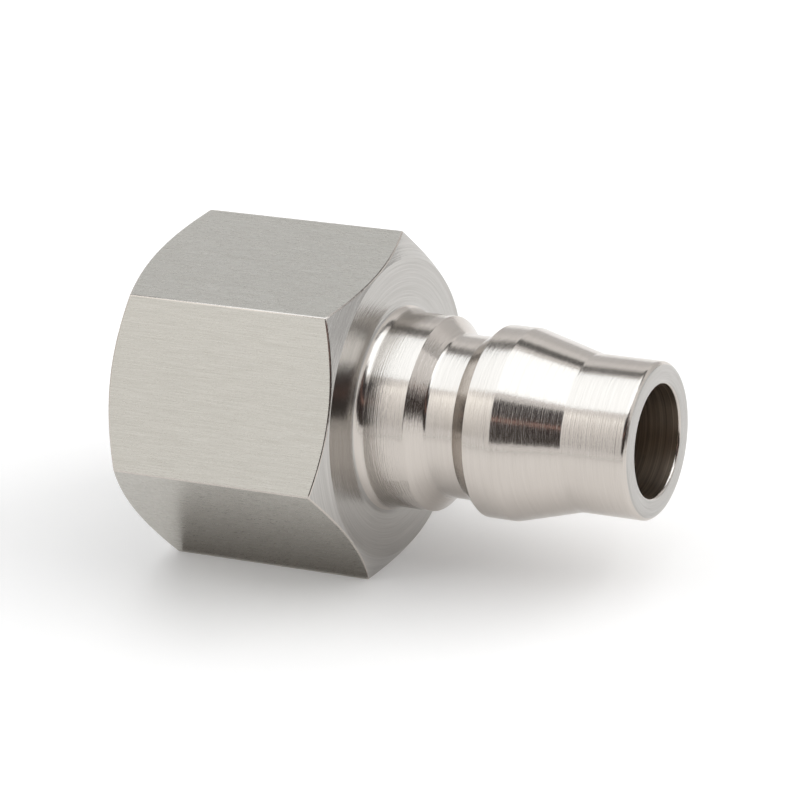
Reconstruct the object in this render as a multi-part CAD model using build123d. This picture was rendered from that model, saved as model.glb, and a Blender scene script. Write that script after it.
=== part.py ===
from build123d import *
import os
from math import radians, sqrt, tan

# Plug half of a quick coupling, turned from one length of hexagon bar.
# The bar's axis lies along X with the nose towards +X, and one flat faces down.
# The origin is on that axis, in the plane of the hexagon's front face.
# All sizes are in millimetres, angles in degrees.

# Hexagon body
across_flats = 19.0
hexagon_length = 15.4
corner_chamfer_angle = 30.0
face_relief = 0.1

# Neck in front of the hexagon
neck_diameter = 12.2
neck_length = 3.3
neck_root_fillet = 0.7

# Groove that the socket's locking balls drop into
groove_depth = 0.9
groove_length = 1.9
shoulder_length = 0.95
shoulder_root_fillet = 0.35
groove_wall_length = 1.1

# Locking land, long lead-in cone and sealing tip
land_diameter = 12.0
land_length = 1.8
cone_length = 4.2
tip_diameter = 9.8
tip_length = 4.35
tip_chamfer = 0.25
edge_break = 0.06

# Flow bore
bore_diameter = 7.0
bore_mouth_chamfer = 0.15

# Female pipe thread: the hole drilled for it, and its countersink
tap_hole_diameter = 11.4
tap_hole_end_wall = 2.4
drill_point_angle = 118.0
countersink_diameter = 13.6
countersink_angle = 90.0

# Radii that follow from the sizes above
flat_radius = across_flats / 2
corner_radius = across_flats / sqrt(3)
face_radius = flat_radius - face_relief
neck_radius = neck_diameter / 2
land_radius = land_diameter / 2
groove_radius = land_radius - groove_depth
tip_radius = tip_diameter / 2
bore_radius = bore_diameter / 2
tap_hole_radius = tap_hole_diameter / 2
countersink_radius = countersink_diameter / 2

# Places along the axis, from the hexagon's rear end to the tip
rear_end = -hexagon_length
front_face = 0.0
neck_end = front_face + neck_length
groove_start = neck_end + shoulder_length
groove_end = groove_start + groove_length
land_start = groove_end + groove_wall_length
land_end = land_start + land_length
cone_end = land_end + cone_length
tip_end = cone_end + tip_length
total_length = tip_end - rear_end


def revolved(points):
    """Solid of revolution about the X axis from (place, radius) points."""
    outline = Polyline(*points, close=True)
    return revolve(make_face(outline), axis=Axis.X)


def edge_at(solid, place, radius):
    """The round edge of a turned solid at one place and radius."""
    on_profile = Vector(place, 0, radius)
    return solid.edges().sort_by(lambda edge: edge.distance_to(Vertex(on_profile)))[0]


def turned_outside():
    """Everything that the lathe leaves outside: both end chamfers, neck, groove and nose."""
    # The chamfers run out past the hexagon's corners, where there is only air.
    rim_radius = 2 * corner_radius - face_radius
    chamfer_run = (rim_radius - face_radius) * tan(radians(corner_chamfer_angle))
    blank = revolved([
        (rear_end, 0),
        (rear_end, face_radius),
        (rear_end + chamfer_run, rim_radius),
        (front_face - chamfer_run, rim_radius),
        (front_face, face_radius),
        (front_face, neck_radius),
        (neck_end, neck_radius),
        (groove_start, groove_radius),
        (groove_end, groove_radius),
        (land_start, land_radius),
        (land_end, land_radius),
        (cone_end, tip_radius),
        (tip_end, tip_radius),
        (tip_end, 0),
    ])
    blank = fillet(edge_at(blank, front_face, neck_radius), neck_root_fillet)
    blank = fillet(edge_at(blank, groove_start, groove_radius), shoulder_root_fillet)
    blank = chamfer(edge_at(blank, tip_end, tip_radius), tip_chamfer)
    for place, radius in ((neck_end, neck_radius), (land_start, land_radius)):
        blank = fillet(edge_at(blank, place, radius), edge_break)
    return blank


def hexagon_bar():
    """The bar stock: a hexagon as long as the whole part, lying on one flat."""
    section = Plane.YZ * RegularPolygon(flat_radius, 6, major_radius=False)
    return extrude(Pos(rear_end, 0, 0) * section, amount=total_length)


def bored_inside():
    """The drilled hole for the thread, its countersink and drill point, and the flow bore."""
    countersink_depth = (countersink_radius - tap_hole_radius) / tan(radians(countersink_angle / 2))
    drill_point_length = (tap_hole_radius - bore_radius) / tan(radians(drill_point_angle / 2))
    tap_hole_end = front_face - tap_hole_end_wall
    return revolved([
        (rear_end, 0),
        (rear_end, countersink_radius),
        (rear_end + countersink_depth, tap_hole_radius),
        (tap_hole_end, tap_hole_radius),
        (tap_hole_end + drill_point_length, bore_radius),
        (tip_end - bore_mouth_chamfer, bore_radius),
        (tip_end, bore_radius + bore_mouth_chamfer),
        (tip_end, 0),
    ])


plug_body = (turned_outside() & hexagon_bar()) - bored_inside()
plug_body.label = "plug_body"

os.makedirs("parts", exist_ok=True)
export_step(plug_body, "parts/plug_body.step")
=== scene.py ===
# %% [markdown]
# The object is the plug half of a quick coupling: the male piece that snaps into a
# spring-loaded socket. It is turned from one length of stainless hexagon bar, so the
# whole of it is one mesh here too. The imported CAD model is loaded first, because it
# fixes the frame: metres, the bore's axis along X with the nose towards +X, +Z up, and
# the origin in the middle of the hexagon's front face.

# %% Load the frame
from math import ceil, cos, pi, radians, sin, sqrt, tan

import bmesh
import bpy
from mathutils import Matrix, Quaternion, Vector


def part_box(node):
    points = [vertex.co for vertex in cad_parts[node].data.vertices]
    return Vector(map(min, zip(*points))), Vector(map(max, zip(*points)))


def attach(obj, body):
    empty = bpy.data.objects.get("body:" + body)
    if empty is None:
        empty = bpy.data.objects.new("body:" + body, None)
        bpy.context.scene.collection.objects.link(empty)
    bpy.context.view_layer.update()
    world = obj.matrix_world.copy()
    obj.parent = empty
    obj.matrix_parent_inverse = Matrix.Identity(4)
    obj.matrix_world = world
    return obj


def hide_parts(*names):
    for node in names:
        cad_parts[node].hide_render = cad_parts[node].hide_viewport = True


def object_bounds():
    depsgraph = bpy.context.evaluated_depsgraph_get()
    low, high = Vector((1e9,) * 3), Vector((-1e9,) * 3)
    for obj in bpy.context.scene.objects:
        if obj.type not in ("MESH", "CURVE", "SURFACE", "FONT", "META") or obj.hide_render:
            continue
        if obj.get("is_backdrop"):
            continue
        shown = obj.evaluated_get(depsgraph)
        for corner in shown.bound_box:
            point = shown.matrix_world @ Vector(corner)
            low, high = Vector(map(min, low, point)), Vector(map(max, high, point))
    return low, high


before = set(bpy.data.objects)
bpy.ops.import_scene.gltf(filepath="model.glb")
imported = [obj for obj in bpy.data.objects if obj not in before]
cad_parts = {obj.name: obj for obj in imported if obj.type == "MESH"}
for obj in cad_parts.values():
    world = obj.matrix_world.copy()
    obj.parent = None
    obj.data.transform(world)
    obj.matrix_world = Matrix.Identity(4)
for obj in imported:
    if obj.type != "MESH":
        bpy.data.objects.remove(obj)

MM = 0.001
cad_low, cad_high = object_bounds()
for starter in ("Cube", "Light", "Camera"):
    if starter in bpy.data.objects:
        bpy.data.objects.remove(bpy.data.objects[starter])
plug_low, plug_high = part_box("plug_body")
print("plug in the frame, mm:", [round(side / MM, 3) for side in (*plug_low, *plug_high)])

# %% [markdown]
# The sizes are those of the CAD model, in millimetres. The two ends and the height across
# the flats are read from the frame, so the mesh can't drift from it. The rest is written
# once here, each place along the axis as the one before it plus a length.

# %% Sizes of the turned part
rear_end = plug_low.x / MM
tip_end = plug_high.x / MM
flat_radius = plug_high.z / MM
corner_radius = 2 * flat_radius / sqrt(3)
face_relief = 0.1
face_radius = flat_radius - face_relief
chamfer_angle = radians(30)

neck_radius = 6.1
neck_end = 3.3
shoulder_length = 0.95
groove_radius = 5.1
groove_length = 1.9
groove_wall_length = 1.1
land_radius = 6.0
land_length = 1.8
cone_length = 4.2
tip_radius = 4.9
tip_chamfer = 0.25

groove_start = neck_end + shoulder_length
groove_end = groove_start + groove_length
land_start = groove_end + groove_wall_length
land_end = land_start + land_length
cone_end = land_end + cone_length

bore_radius = 3.5
tap_hole_radius = 5.7
tap_hole_end = -2.4
drill_point_half_angle = radians(59)
drill_point_end = tap_hole_end + (tap_hole_radius - bore_radius) / tan(drill_point_half_angle)
countersink_radius = 6.8
countersink_end = rear_end + countersink_radius - tap_hole_radius
print("overall length, mm:", round(tip_end - rear_end, 2))

# %% [markdown]
# A turned part is a half-section spun about its axis. It could be stacked from cylinders
# and cones, but then the fillets would have to be cut in one by one. Here the half-section
# is written as corners, each with the radius that rounds it. Even a sharp machined edge is
# broken by a few hundredths of a millimetre, and that thin round is what catches the light.
# The tip and the mouth of the bore are rounded more, so that they slide past the seal.

# %% Half-section with rounded corners
edge_break = 0.05
crisp_edge = 0.02
root_fillet = 0.7
groove_fillet = 0.35
tip_round = 0.3
bore_mouth = 0.2
arc_step = radians(9)

rim_radius = 2 * corner_radius - face_radius
chamfer_run = (rim_radius - face_radius) * tan(chamfer_angle)

section = [
    (rear_end, countersink_radius, edge_break),
    (rear_end, face_radius, edge_break),
    (rear_end + chamfer_run, rim_radius, 0),
    (-chamfer_run, rim_radius, 0),
    (0, face_radius, crisp_edge),
    (0, neck_radius, root_fillet),
    (neck_end, neck_radius, edge_break),
    (groove_start, groove_radius, groove_fillet),
    (groove_end, groove_radius, edge_break),
    (land_start, land_radius, edge_break),
    (land_end, land_radius, crisp_edge),
    (cone_end, tip_radius, crisp_edge),
    (tip_end - tip_chamfer, tip_radius, tip_round),
    (tip_end, tip_radius - tip_chamfer, tip_round),
    (tip_end, bore_radius, bore_mouth),
    (drill_point_end, bore_radius, edge_break),
    (tap_hole_end, tap_hole_radius, edge_break),
    (countersink_end, tap_hole_radius, 0),
]


def rounded(before, corner, after, radius):
    """Points of the arc that rounds one corner, or the corner itself where radius is 0."""
    if radius == 0:
        return [corner]
    back, on = (before - corner).normalized(), (after - corner).normalized()
    opening = back.angle(on)
    centre = corner + (back + on).normalized() * radius / sin(opening / 2)
    start = corner + back * radius / tan(opening / 2) - centre
    end = corner + on * radius / tan(opening / 2) - centre
    turn = pi - opening
    steps = ceil(turn / arc_step) + 1
    points = []
    for step in range(steps + 1):
        share = step / steps
        arm = (start * sin(turn * (1 - share)) + end * sin(turn * share)) / sin(turn)
        points.append(centre + arm)
    return points


def rounded_outline(corners):
    """The closed outline as points (x, 0, z) in metres, with every corner rounded."""
    places = [Vector((x, 0, distance)) for x, distance, _ in corners]
    points = []
    for index, (_, _, radius) in enumerate(corners):
        after = places[(index + 1) % len(places)]
        points += rounded(places[index - 1], places[index], after, radius)
    return [point * MM for point in points]


outline = rounded_outline(section)
print("points in the half-section:", len(outline))

# %% [markdown]
# The outline is drawn by extruding a single point from place to place, as one would with
# the E key. The point is a plane primitive merged to its middle. The last step comes back
# to the first point, so the two are merged as doubles, and the line is closed.

# %% Draw an outline by extruding a point
merge_gap = 1e-7


def deselect_all():
    """Nothing selected, so that the next operator acts on its own piece alone."""
    for obj in bpy.context.selected_objects:
        obj.select_set(False)


def draw_outline(name, points):
    """A new object whose mesh is the closed line through the points, left in edit mode."""
    deselect_all()
    bpy.ops.mesh.primitive_plane_add(size=MM, location=points[0])
    obj = bpy.context.object
    obj.name = name
    bpy.ops.object.transform_apply(location=True)
    bpy.ops.object.mode_set(mode="EDIT")
    bpy.ops.mesh.select_all(action="SELECT")
    bpy.ops.mesh.merge(type="CENTER")
    for here, there in zip(points, points[1:] + points[:1]):
        bpy.ops.mesh.extrude_region_move(TRANSFORM_OT_translate={"value": there - here})
    bpy.ops.mesh.select_all(action="SELECT")
    bpy.ops.mesh.remove_doubles(threshold=merge_gap)
    return obj


plug = draw_outline("plug", outline)
print("outline drawn in the object", plug.name)

# %% [markdown]
# The spin is the lathe. A Screw modifier would do the same, but the spin leaves a mesh
# that the next steps can select and cut. One turn in 288 steps keeps the silhouettes round
# close up. The doubles at the seam are merged before the normals are recalculated.

# %% Spin the half-section
turn_steps = 288

bpy.ops.mesh.select_all(action="SELECT")
bpy.ops.mesh.spin(steps=turn_steps, angle=2 * pi, center=(0, 0, 0), axis=(1, 0, 0))
bpy.ops.mesh.select_all(action="SELECT")
bpy.ops.mesh.remove_doubles(threshold=merge_gap)
bpy.ops.mesh.normals_make_consistent(inside=False)
bpy.ops.object.mode_set(mode="OBJECT")
print("faces after the spin:", len(plug.data.polygons))

# %% [markdown]
# The rear end has a female taper pipe thread of a quarter inch: 55 degrees, 19 threads to
# the inch, one in sixteen on the diameter. Rings would be easier, but a thread seen from
# its mouth shows its start and its run-out. The tap is modelled as a helical ridge: its
# section is drawn once, the Screw modifier winds it, and moving its points inwards along
# the hole gives the taper and the run-out of the last turn. The foot of the ridge stands
# in the open hole, so that the cut leaves no skin.

# %% Model the tap
inch = 25.4
threads_to_the_inch = 19
pitch = inch / threads_to_the_inch
tap_root_diameter = 13.157
tap_root_radius = tap_root_diameter / 2
tap_half_angle = radians(55 / 2)
tap_root_width = 0.2
least_crest = 0.04
taper = 1 / 32
full_thread = 10.2
run_out_slope = 0.45
tap_turns = 10
tap_steps = 96
ridge_foot = 0.25
ridge_inside = tap_hole_radius - ridge_foot


def tap_section():
    """Closed section of the ridge, one pitch behind the rear end of the plug."""
    root = tap_root_width / 2
    base = root + (tap_root_radius + pitch * taper - tap_hole_radius) * tan(tap_half_angle)
    base = min(base, (pitch - least_crest) / 2)
    middle = rear_end - pitch
    corners = ((-base, ridge_inside), (-base, tap_hole_radius), (-root, tap_root_radius),
               (root, tap_root_radius), (base, tap_hole_radius), (base, ridge_inside))
    return [Vector((middle + x, 0, radius)) * MM for x, radius in corners]


def taper_inwards(obj):
    """Draws each point towards the axis: the tap's taper, then the run-out past full thread."""
    for vertex in obj.data.vertices:
        x, y, z = vertex.co / MM
        depth = x - rear_end
        radius = sqrt(y * y + z * z)
        share = (radius - ridge_inside) / (tap_root_radius - ridge_inside)
        shrink = depth * taper + max(0, depth - full_thread) * run_out_slope
        wanted = radius - share * min(shrink, tap_root_radius - ridge_inside)
        vertex.co = Vector((x, y * wanted / radius, z * wanted / radius)) * MM


tap = draw_outline("tap", tap_section())
bpy.ops.object.mode_set(mode="OBJECT")
winding = tap.modifiers.new("winding", "SCREW")
winding.axis = "X"
winding.angle = 2 * pi
winding.screw_offset = pitch * MM
winding.iterations = tap_turns
winding.steps = tap_steps
winding.render_steps = tap_steps
winding.use_merge_vertices = False
bpy.ops.object.modifier_apply(modifier="winding")
bpy.ops.object.mode_set(mode="EDIT")
bpy.ops.mesh.select_all(action="DESELECT")
bpy.ops.mesh.select_mode(type="EDGE")
bpy.ops.mesh.select_non_manifold()
bpy.ops.mesh.edge_face_add()
bpy.ops.mesh.select_all(action="SELECT")
bpy.ops.mesh.normals_make_consistent(inside=False)
bpy.ops.object.mode_set(mode="OBJECT")
taper_inwards(tap)
print("faces of the tap:", len(tap.data.polygons))

# %% [markdown]
# The thread is what the tap leaves when it is taken away from the hole. The exact solver
# keeps the cut closed where the ridge runs out on the tapered wall.

# %% Cut the thread
deselect_all()
bpy.context.view_layer.objects.active = plug
plug.select_set(True)
cut = plug.modifiers.new("thread", "BOOLEAN")
cut.operation = "DIFFERENCE"
cut.solver = "EXACT"
cut.object = tap
bpy.ops.object.modifier_apply(modifier="thread")
bpy.data.objects.remove(tap)
print("faces after the thread:", len(plug.data.polygons))

# %% [markdown]
# The hexagon is what the lathe left of the bar. Six bisects, each with its cut filled,
# take away what lies outside the flats, and the chamfer cones meet the flats in the
# curved lines that every turned hexagon has.

# %% Cut the six flats
flat_count = 6

bpy.ops.object.mode_set(mode="EDIT")
for side in range(flat_count):
    angle = radians(360 / flat_count * side + 90)
    outward = Vector((0, cos(angle), sin(angle)))
    bpy.ops.mesh.select_all(action="SELECT")
    bpy.ops.mesh.bisect(plane_co=outward * flat_radius * MM, plane_no=outward,
                        use_fill=True, clear_outer=True, threshold=merge_gap)
bpy.ops.mesh.select_all(action="SELECT")
bpy.ops.mesh.remove_doubles(threshold=merge_gap)
bpy.ops.object.mode_set(mode="OBJECT")
print("faces after the flats:", len(plug.data.polygons))

# %% [markdown]
# The bar was drawn through a die, so its six long corners are slightly round, and the
# edges where the chamfers meet the flats were touched with a file. Both show as thin
# lines, bright or dark by what they mirror. A bevel modifier limited by angle would also
# take the turned edges, so the edges are found by their faces: at least one of the two is
# a flat, and the two meet at an angle.

# %% Break the edges of the flats
flat_break = 0.075
flat_break_rows = 2
least_edge_angle = radians(5)
level_enough = 1e-3
near_enough = 1e-6


def is_flat(normal, centre):
    """True for a face that lies on one of the six flats."""
    outward = Vector((0, normal.y, normal.z))
    off_plane = centre.dot(outward) - flat_radius * MM
    return abs(normal.x) < level_enough and abs(off_plane) < near_enough


bpy.ops.object.mode_set(mode="EDIT")
bpy.ops.mesh.select_all(action="DESELECT")
bpy.ops.mesh.select_mode(type="EDGE")
shape = bmesh.from_edit_mesh(plug.data)
flats = {face for face in shape.faces if is_flat(face.normal, face.calc_center_median())}
for edge in shape.edges:
    first, last = edge.link_faces[0], edge.link_faces[-1]
    on_flat = first in flats or last in flats
    edge.select = on_flat and first.normal.angle(last.normal) > least_edge_angle
bmesh.update_edit_mesh(plug.data)
print("faces on the flats:", len(flats), "edges broken:", sum(edge.select for edge in shape.edges))
bpy.ops.mesh.bevel(offset=flat_break * MM, offset_type="OFFSET", segments=flat_break_rows,
                   affect="EDGES", clamp_overlap=True)
bpy.ops.object.mode_set(mode="OBJECT")

# %% [markdown]
# A machined part is one closed skin. Every edge should have exactly two faces, and the
# volume should be near that of the CAD model, less what the thread takes away.

# %% Check that the mesh is closed
shape = bmesh.new()
shape.from_mesh(plug.data)
open_edges = [edge for edge in shape.edges if len(edge.link_faces) != 2]
print("faces:", len(shape.faces), "open edges:", len(open_edges), "volume, mm3:",
      round(shape.calc_volume() / MM ** 3, 1))
shape.free()

# %% [markdown]
# Under a lens, each finish is a pattern of fine scratches, some short and some long. They
# could be painted, but noise stretched along the scratches needs no picture. It is made
# once as a node group with an output for each kind. The bump takes both, the roughness the
# short ones and the colour the long ones. Object coordinates carry them, so they stay on
# the steel from every side.

# %% Small helpers for shader nodes


def add_node(tree, kind, **inputs):
    """A new shader node, with some of its inputs set by their names."""
    node = tree.nodes.new("ShaderNode" + kind)
    for name, value in inputs.items():
        node.inputs[name.replace("_", " ")].default_value = value
    return node


def feed(tree, socket, value):
    """Links a socket into an input, or sets the input where the value is a number."""
    if isinstance(value, (int, float)):
        socket.default_value = value
    else:
        tree.links.new(value, socket)


def calculate(tree, operation, first, second=0.0):
    """The result of a Math node on sockets or numbers."""
    node = tree.nodes.new("ShaderNodeMath")
    node.operation = operation
    feed(tree, node.inputs[0], first)
    feed(tree, node.inputs[1], second)
    return node.outputs[0]


def cross(tree, first, second):
    """The unit vector at right angles to two vector sockets."""
    product = tree.nodes.new("ShaderNodeVectorMath")
    product.operation = "CROSS_PRODUCT"
    tree.links.new(first, product.inputs[0])
    tree.links.new(second, product.inputs[1])
    unit = tree.nodes.new("ShaderNodeVectorMath")
    unit.operation = "NORMALIZE"
    tree.links.new(product.outputs[0], unit.inputs[0])
    return unit.outputs[0]


def pattern_group(name, settings):
    """A node group with a position, some number inputs and the outputs Short and Long."""
    group = bpy.data.node_groups.new(name, "ShaderNodeTree")
    group.interface.new_socket("Position", in_out="INPUT", socket_type="NodeSocketVector")
    for label in settings:
        group.interface.new_socket(label, in_out="INPUT", socket_type="NodeSocketFloat")
    for label in ("Short", "Long"):
        group.interface.new_socket(label, in_out="OUTPUT", socket_type="NodeSocketFloat")
    return group, group.nodes.new("NodeGroupInput"), group.nodes.new("NodeGroupOutput")


noise_detail = 2.0
noise_roughness = 0.6


def noise_from(group, place, fourth=None):
    """Noise at a place given as three sockets, with a fourth dimension if one is given."""
    vector = add_node(group, "CombineXYZ")
    for socket, value in zip(vector.inputs, place):
        feed(group, socket, value)
    noise = add_node(group, "TexNoise", Scale=1.0, Detail=noise_detail, Roughness=noise_roughness)
    if fourth is not None:
        noise.noise_dimensions = "4D"
        group.links.new(fourth, noise.inputs["W"])
    group.links.new(vector.outputs[0], noise.inputs["Vector"])
    return noise.outputs[0]


# %% [markdown]
# Lathe rings change fast along the section and slowly round the axis. The way round is
# carried by y/r and z/r, the latter in a fourth noise dimension, so the rings have no
# seam. On the end faces the same rings are concentric circles. The tool's chatter breaks
# the short ones up, while the feed marks run nearly all the way round.

# %% Pattern of the lathe rings
long_ring_share = 0.07


def lathe_rings():
    """Rings round the X axis, with Pitch in metres and Waver as the short ones' change round it."""
    group, given, result = pattern_group("lathe_rings", ("Pitch", "Waver"))
    split = add_node(group, "SeparateXYZ")
    group.links.new(given.outputs["Position"], split.inputs[0])
    x, y, z = split.outputs
    y_squared, z_squared = (calculate(group, "POWER", side, 2.0) for side in (y, z))
    radius = calculate(group, "SQRT", calculate(group, "ADD", y_squared, z_squared))
    along = [calculate(group, "DIVIDE", side, given.outputs["Pitch"]) for side in (x, radius)]
    shares_round = [calculate(group, "DIVIDE", side, radius) for side in (y, z)]
    for label, share in (("Short", 1), ("Long", long_ring_share)):
        waver = calculate(group, "MULTIPLY", given.outputs["Waver"], share)
        around = [calculate(group, "MULTIPLY", side, waver) for side in shares_round]
        group.links.new(noise_from(group, (*along, around[0]), around[1]), result.inputs[label])
    return group


LATHE_RINGS = lathe_rings()
print("nodes in the lathe rings:", len(LATHE_RINGS.nodes))

# %% [markdown]
# The die that the bar was drawn through leaves straight scratches, up to a few
# millimetres long. They are noise again, fast across the flat and slow along it. The
# pattern is solid, so that the scratches on two flats meet at their edge.

# %% Pattern of the straight grain
long_grain_share = 4


def straight_grain():
    """Grain along the X axis, with the Width and Length of a short scratch in metres."""
    group, given, result = pattern_group("straight_grain", ("Width", "Length"))
    split = add_node(group, "SeparateXYZ")
    group.links.new(given.outputs["Position"], split.inputs[0])
    x, y, z = split.outputs
    across = [calculate(group, "DIVIDE", side, given.outputs["Width"]) for side in (y, z)]
    for label, share in (("Short", 1), ("Long", long_grain_share)):
        length = calculate(group, "MULTIPLY", given.outputs["Length"], share)
        group.links.new(noise_from(group, (calculate(group, "DIVIDE", x, length), *across)),
                        result.inputs[label])
    return group


STRAIGHT_GRAIN = straight_grain()
print("nodes in the straight grain:", len(STRAIGHT_GRAIN.nodes))

# %% [markdown]
# All the finishes are the same steel: a metal with a warm grey colour. What differs is
# how its scratches run. They spread a reflection at right angles to themselves, so the
# anisotropic lobe follows a tangent worked out from the surface: across the rings on
# turned faces, across the grain on the flats.

# %% Write a steel finish
noise_low, noise_high = 0.3, 0.7


def steel(name, pattern, settings, relief, roughness, spread, turned, tones):
    """One finish of the steel. Relief is the depth of the short and the long marks in metres."""
    material = bpy.data.materials.new(name)
    material.use_nodes = True
    tree = material.node_tree
    shader = tree.nodes["Principled BSDF"]
    shader.inputs["Metallic"].default_value = 1.0
    shader.inputs["Anisotropic"].default_value = spread
    position = add_node(tree, "TexCoord").outputs["Object"]

    marks = tree.nodes.new("ShaderNodeGroup")
    marks.node_tree = pattern
    tree.links.new(position, marks.inputs["Position"])
    for label, value in settings.items():
        marks.inputs[label].default_value = value

    tone = add_node(tree, "ValToRGB")
    for stop, place, colour in zip(tone.color_ramp.elements, (noise_low, noise_high), tones):
        stop.position, stop.color = place, (*colour, 1)
    tree.links.new(marks.outputs["Long"], tone.inputs["Fac"])
    tree.links.new(tone.outputs["Color"], shader.inputs["Base Color"])

    rough = add_node(tree, "MapRange", From_Min=noise_low, From_Max=noise_high,
                     To_Min=roughness[0], To_Max=roughness[1])
    tree.links.new(marks.outputs["Short"], rough.inputs["Value"])
    tree.links.new(rough.outputs["Result"], shader.inputs["Roughness"])

    depths = [calculate(tree, "MULTIPLY", marks.outputs[label], depth)
              for label, depth in zip(("Short", "Long"), relief)]
    bump = add_node(tree, "Bump", Strength=1.0, Distance=1.0)
    tree.links.new(calculate(tree, "ADD", *depths), bump.inputs["Height"])
    tree.links.new(bump.outputs["Normal"], shader.inputs["Normal"])

    axis = add_node(tree, "CombineXYZ", X=1.0).outputs[0]
    surface = add_node(tree, "NewGeometry").outputs["Normal"]
    if turned:
        across = cross(tree, surface, cross(tree, axis, position))
    else:
        across = cross(tree, axis, surface)
    tree.links.new(across, shader.inputs["Tangent"])
    return material


# %% [markdown]
# Each tool leaves its own finish. The drawn flats are dull and even. The turned faces are
# brighter and show fine rings. The end faces are set greyer and darker, with deeper rings.
# The tapped hole is dull, and the bore is dark, with coarse rings from the drill. One
# function makes all five, so that they stay the same steel and differ only in their numbers.

# %% Make the five finishes
MICRON = 0.000001
drawn_grain = {"Width": 40 * MICRON, "Length": 600 * MICRON}
turned_rings = {"Pitch": 70 * MICRON, "Waver": 24}
tapped_rings = {"Pitch": 160 * MICRON, "Waver": 3}
drilled_rings = {"Pitch": 120 * MICRON, "Waver": 3}

finishes = {
    "flat_grain": steel("flat_grain", STRAIGHT_GRAIN, drawn_grain,
                        relief=(1.8 * MICRON, 1.8 * MICRON), roughness=(0.22, 0.38),
                        spread=0.6, turned=False,
                        tones=((0.5, 0.48, 0.44), (0.585, 0.565, 0.525))),
    "turned": steel("turned", LATHE_RINGS, turned_rings,
                    relief=(5 * MICRON, 10 * MICRON), roughness=(0.13, 0.23),
                    spread=0.6, turned=True,
                    tones=((0.53, 0.488, 0.448), (0.57, 0.528, 0.488))),
    "faced": steel("faced", LATHE_RINGS, turned_rings,
                   relief=(4 * MICRON, 14 * MICRON), roughness=(0.14, 0.24),
                   spread=0.6, turned=True,
                   tones=((0.4, 0.385, 0.365), (0.5, 0.485, 0.465))),
    "tapped": steel("tapped", LATHE_RINGS, tapped_rings,
                    relief=(0.5 * MICRON, 3 * MICRON), roughness=(0.25, 0.35),
                    spread=0.4, turned=True,
                    tones=((0.42, 0.395, 0.36), (0.5, 0.475, 0.44))),
    "bored": steel("bored", LATHE_RINGS, drilled_rings,
                   relief=(0.5 * MICRON, 3 * MICRON), roughness=(0.28, 0.38),
                   spread=0.4, turned=True,
                   tones=((0.28, 0.225, 0.175), (0.6, 0.51, 0.425))),
}
print("finishes:", *finishes)

# %% [markdown]
# All five finishes are on the one piece, so each face is given its own by where it lies
# and which way it points: on a flat, inside the hole or the bore, square to the axis, or
# round it. Picking the faces by hand would work too, but not after a size is changed.

# %% Choose a finish for each face
facing_limit = cos(radians(35))


def finish_of(face):
    """Name of the finish that a face has on the real piece."""
    normal, centre = face.normal, face.center
    if is_flat(normal, centre):
        return "flat_grain"
    inwards = normal.y * centre.y + normal.z * centre.z < 0
    near_axis = sqrt(centre.y ** 2 + centre.z ** 2) < countersink_radius * MM
    behind_mouth = centre.x < (tip_end - bore_mouth) * MM
    if inwards and near_axis and behind_mouth:
        return "bored" if centre.x > drill_point_end * MM else "tapped"
    if abs(normal.x) > facing_limit:
        return "faced"
    return "turned"


for material in finishes.values():
    plug.data.materials.append(material)
order = list(finishes)
for face in plug.data.polygons:
    face.material_index = order.index(finish_of(face))
for index, finish in enumerate(order):
    print("faces", finish, sum(face.material_index == index for face in plug.data.polygons))

# %% [markdown]
# Round faces are shaded smooth. The angle between the land and the long cone is 15
# degrees and has to stay crisp, so the limit is set below it, and the fillets above were
# drawn in steps of 9 degrees. Then the mesh takes the place of the CAD node: it rides on
# the same body, and the CAD node is hidden.

# %% Shade the round faces smooth and dress the body
smooth_limit = radians(12.5)

deselect_all()
plug.select_set(True)
bpy.context.view_layer.objects.active = plug
bpy.ops.object.shade_smooth_by_angle(angle=smooth_limit)
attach(plug, "root")
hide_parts("plug_body")
print("smooth faces:", sum(face.use_smooth for face in plug.data.polygons))

# %% [markdown]
# The camera stands where the photograph was taken: a long lens, well above the bench and
# to the right of the flats, rolled a little so that the plug runs downhill to the right.
# Its place is given by two angles and a distance, which are easier to judge by eye than
# three coordinates.

# %% Place the camera
look_at = Vector((0.03, 0.28, 0.38)) * MM
camera_distance = 280.4 * MM
camera_azimuth = radians(29.91)
camera_elevation = radians(30.53)
camera_roll = radians(8.86)
sensor_width = 36
focal_length = 202.5


def direction(azimuth, elevation):
    """Unit vector away from the object. Azimuth 0 is the front, -Y, and a quarter turn is +X."""
    return Vector((sin(azimuth) * cos(elevation), -cos(azimuth) * cos(elevation), sin(elevation)))


camera_data = bpy.data.cameras.new("camera")
camera_data.sensor_width = sensor_width
camera_data.lens = focal_length
camera = bpy.data.objects.new("camera", camera_data)
bpy.context.scene.collection.objects.link(camera)
towards_camera = direction(camera_azimuth, camera_elevation)
camera.location = look_at + towards_camera * camera_distance
camera.rotation_mode = "QUATERNION"
rolled = Quaternion((0, 0, 1), -camera_roll)
camera.rotation_quaternion = towards_camera.to_track_quat("Z", "Y") @ rolled
bpy.context.scene.camera = camera
print("camera at, mm:", [round(side / MM, 1) for side in camera.location])

# %% [markdown]
# The bench is white paper, one plane under the plug. A faint glow, which only the camera
# and the mirror of the steel see, lifts it to white away from the plug, and it keeps the
# plug's shadow. The glow gives no light to the plug.

# %% Lay the bench
bpy.context.scene.view_settings.view_transform = "Standard"
white = (1, 1, 1, 1)
bench_size = 1.2
bench_paint = (0.95, 0.95, 0.95, 1)
bench_roughness = 0.9
bench_lift = 0.15


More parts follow.
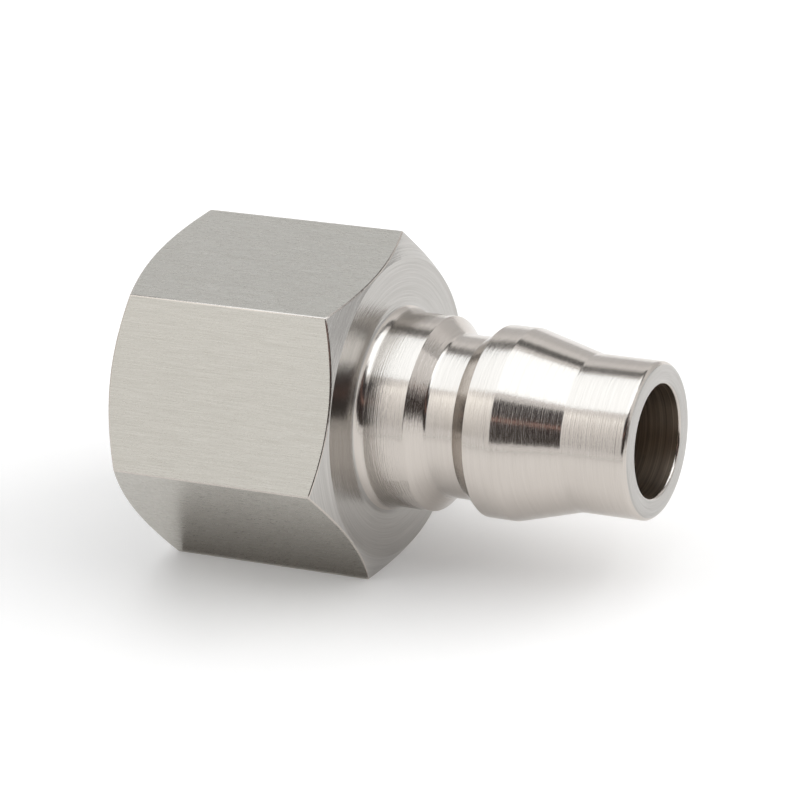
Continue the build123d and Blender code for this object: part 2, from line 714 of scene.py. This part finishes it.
def seen_directly(tree):
    """1 for rays that see a surface straight, mirrored or through glass, and 0 for its light."""
    rays = add_node(tree, "LightPath").outputs
    seen = calculate(tree, "MAXIMUM", rays["Is Camera Ray"], rays["Is Glossy Ray"])
    return calculate(tree, "MAXIMUM", seen, rays["Is Transmission Ray"])


deselect_all()
bpy.ops.mesh.primitive_plane_add(size=bench_size, location=(0, 0, plug_low.z))
bench = bpy.context.object
bench.name = "bench"
paper = bpy.data.materials.new("bench_paper")
paper.use_nodes = True
tree = paper.node_tree
shader = tree.nodes["Principled BSDF"]
shader.inputs["Base Color"].default_value = bench_paint
shader.inputs["Roughness"].default_value = bench_roughness
shader.inputs["Specular IOR Level"].default_value = 0
shader.inputs["Emission Color"].default_value = white
lift = calculate(tree, "MULTIPLY", seen_directly(tree), bench_lift)
tree.links.new(lift, shader.inputs["Emission Strength"])
bench.data.materials.append(paper)
bench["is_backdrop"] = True
print("bench at height, mm:", round(plug_low.z / MM, 2))

# %% [markdown]
# The main light is one large soft box overhead, a little behind the plug. Smaller boxes
# stand to the right, behind and to the left front. Nothing lights the right front, where
# the photographer stands, and so the shadow falls there. A lamp can't shade from edge to
# edge, so none of them shows in the steel: the cards after this step do that. The room
# itself is nearly dark, and only looks white.

# %% Hang the lights
room_strength = 0.03
box_height = 0.6
box_left, box_right = -0.48, 0.55
box_near, box_far = -0.26, 0.42
box_radiance = 1.3
side_elevation = radians(26)
side_distance = 0.8
side_height = 0.8
side_boxes = (
    ("right", 105, 0.8, 2.5),
    ("behind", 180, 1.6, 1.0),
    ("left", -65, 0.8, 1.3),
)

room = bpy.data.worlds.new("room")
bpy.context.scene.world = room
room.use_nodes = True
tree = room.node_tree
strength = add_node(tree, "MapRange", To_Min=room_strength, To_Max=1.0)
tree.links.new(seen_directly(tree), strength.inputs["Value"])
tree.links.new(strength.outputs["Result"], tree.nodes["Background"].inputs["Strength"])
tree.nodes["Background"].inputs["Color"].default_value = white


def soft_box(name, width, depth, radiance, location, rotation):
    """A rectangular lamp, whose watts are worked out from the brightness of its face."""
    data = bpy.data.lights.new(name, "AREA")
    data.shape = "RECTANGLE"
    data.size = width
    data.size_y = depth
    data.energy = radiance * pi * width * depth
    lamp = bpy.data.objects.new(name, data)
    lamp.location = location
    lamp.rotation_mode = "QUATERNION"
    lamp.rotation_quaternion = rotation
    lamp.visible_glossy = False
    bpy.context.scene.collection.objects.link(lamp)
    print("lamp", name, "watts:", round(data.energy, 2))


box_width, box_depth = box_right - box_left, box_far - box_near
box_middle = Vector(((box_left + box_right) / 2, (box_near + box_far) / 2, box_height))
soft_box("overhead", box_width, box_depth, box_radiance, box_middle, Quaternion())
for name, azimuth, width, radiance in side_boxes:
    outward = direction(radians(azimuth), side_elevation)
    facing_plug = outward.to_track_quat("Z", "Y")
    soft_box(name, width, side_height, radiance, outward * side_distance, facing_plug)

# %% [markdown]
# Polished steel has no look of its own, only what it mirrors. So the things that stand
# round the bench are cards, as a photographer sets them up, but seen in the steel alone.
# A card is a grid whose points are laid where it stands, with its tone kept in the mesh.

# %% Write the cards that the steel mirrors
card_distance = 0.55
card_steps = 24


def glow(name):
    """Emission whose colour is read from the mesh, so that a card can shade from edge to edge."""
    material = bpy.data.materials.new(name)
    material.use_nodes = True
    tree = material.node_tree
    emission = add_node(tree, "Emission", Strength=1.0)
    tone = add_node(tree, "Attribute")
    tone.attribute_name = "tone"
    tree.links.new(tone.outputs["Color"], emission.inputs["Color"])
    tree.links.new(emission.outputs[0], tree.nodes["Material Output"].inputs["Surface"])
    return material


GLOW = glow("card_glow")


def make_card(name, place, low_tone, high_tone):
    """A card seen in the steel alone. Place gives a point for each share across and up."""
    deselect_all()
    bpy.ops.mesh.primitive_grid_add(x_subdivisions=card_steps, y_subdivisions=card_steps, size=1)
    card = bpy.context.object
    card.name = name
    tones = card.data.attributes.new("tone", "FLOAT_COLOR", "POINT")
    for vertex, tone in zip(card.data.vertices, tones.data):
        across, up = vertex.co.x + 0.5, vertex.co.y + 0.5
        vertex.co = place(across, up)
        tone.color = [*Vector(low_tone).lerp(Vector(high_tone), up), 1]
    card.data.materials.append(GLOW)
    card.visible_camera = False
    card.visible_diffuse = False
    card.visible_shadow = False
    card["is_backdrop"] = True
    print("card", name)


def round_card(name, azimuths, elevations, low_tone, high_tone):
    """A card bent round the object, between azimuths and elevations in degrees."""
    def place(across, up):
        azimuth = azimuths[0] + across * (azimuths[1] - azimuths[0])
        elevation = elevations[0] + up * (elevations[1] - elevations[0])
        return direction(radians(azimuth), radians(elevation)) * card_distance
    make_card(name, place, low_tone, high_tone)


def flat_card(name, corner, across_side, up_side, low_tone, high_tone):
    """A flat card with one corner and two sides given."""
    def place(across, up):
        return corner + across_side * across + up_side * up
    make_card(name, place, low_tone, high_tone)


# %% [markdown]
# Behind the bench is a grey wall, with the dark gap between it and the soft box above. To
# the left is a wall that brightens upwards. The dim room behind the camera makes the dark
# bands along the nose, and a warm shelf in it the thin red line in them.

# %% Stand the walls and the dim room
wall_low, wall_high = (0.68, 0.68, 0.68), (0.8, 0.8, 0.8)
gap_tone = (0.15, 0.15, 0.15)
left_low, left_high = (0.7, 0.685, 0.66), (1.8, 1.8, 1.77)
room_sides = (-8.5, 81.5)
shelf_low, shelf_high = 33, 36
shelf_tone = (0.5, 0.3, 0.25)

round_card("back_wall", (105, 240), (0, 22), wall_low, wall_high)
round_card("gap_behind_box", (120, 240), (35, 47), gap_tone, gap_tone)
round_card("left_wall", (-77.5, -24.5), (10, 52), left_low, left_high)
round_card("dim_room_low", room_sides, (8, shelf_low), (0.045, 0.035, 0.03), (0.055, 0.045, 0.045))
round_card("dim_room_shelf", room_sides, (shelf_low, shelf_high), shelf_tone, shelf_tone)
round_card("dim_room_high", room_sides, (shelf_high, 57), (0.055, 0.045, 0.045), (0.065, 0.06, 0.065))

# %% [markdown]
# The face of the soft box is brighter to the right, where the long cone mirrors it, than
# to the left, where the land and the neck do. A dark card on the bench beside the plug is
# a painted contact shadow, seen only in the steel where the lower flat mirrors it: its near
# edge is lighter, so the painted shade on the flat darkens downwards.

# %% Add the face of the soft box and the painted contact shadow under the flat
face_gap = 0.002
shadow_card_gap = 0.01

box_corner = Vector((box_left, box_near, box_height - face_gap))
flat_card("soft_box_face", box_corner, Vector((0, box_depth, 0)), Vector((box_width, 0, 0)),
          (1.6, 1.71, 1.8), (2.4, 2.52, 2.62))
# The card under the flat is painted shadow: a dark card that the lower flat mirrors in place of the
# plug's contact shadow.
shadow_card_corner = Vector((-15.1, -10.3, shadow_card_gap - flat_radius)) * MM
shadow_card_across, shadow_card_up = Vector((13.6, 0, 0)) * MM, Vector((0.9, 4.7, 0)) * MM
flat_card("card_under_flat", shadow_card_corner, shadow_card_across, shadow_card_up,
          (0.42, 0.41, 0.4), (0.13, 0.12, 0.11))

# %% [markdown]
# The size of the mesh is written beside the size of the CAD model: the two boxes should
# be nearly the same, and the mesh must not stand out of the CAD box anywhere. It is a
# little narrower, because the long corners are broken.

# %% Write the sizes down
low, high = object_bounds()
room_below = [round((inner - outer) / MM, 4) for inner, outer in zip(low, cad_low)]
room_above = [round((outer - inner) / MM, 4) for inner, outer in zip(high, cad_high)]
print("inside the CAD box by, mm:", room_below, room_above)
